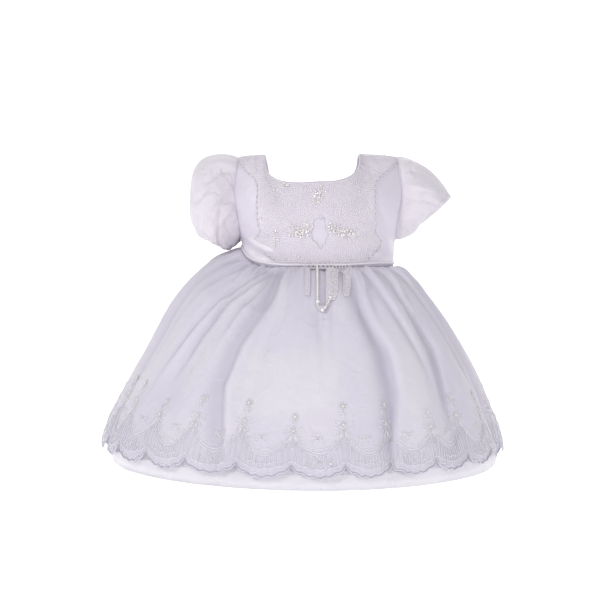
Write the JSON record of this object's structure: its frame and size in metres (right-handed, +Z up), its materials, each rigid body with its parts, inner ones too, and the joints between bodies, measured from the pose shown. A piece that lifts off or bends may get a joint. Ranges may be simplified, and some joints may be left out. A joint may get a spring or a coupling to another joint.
{
  "type": "baby christening gown",
  "caption": "Hollow baby christening gown held as worn: satin bodice with raised lace, short puff sleeves and a gathered scalloped overskirt above a longer underskirt.",
  "frame": {"origin": "midway between the shoulders on the shoulder line, at mount wearer_shoulders", "axes": "+Z up, along the wearer's spine; the front faces -Y; +X is the wearer's left, at the right of the front view"},
  "size_m": [0.4515, 0.4028, 0.3486],
  "materials": {
    "satin": "white satin with a cool sheen",
    "organza": "sheer white organza over satin, lavender in its shade",
    "lace": "white corded lace with small pearls and sequins",
    "pearl_plastic": "pearl-white button"
  },
  "bodies": {
    "root": {"bodice_front": "satin", "bodice_back_left": "satin", "bodice_back_right": "satin", "sleeve_left": "organza", "sleeve_right": "organza", "overskirt_front": "organza", "overskirt_back_left": "organza", "overskirt_back_right": "organza", "underskirt_front": "satin", "underskirt_back_left": "satin", "underskirt_back_right": "satin", "applique_bodice": "lace", "applique_tail": "lace", "back_placket": "satin", "back_button_1": "pearl_plastic", "back_button_2": "pearl_plastic", "back_button_3": "pearl_plastic"}
  },
  "joints": []
}
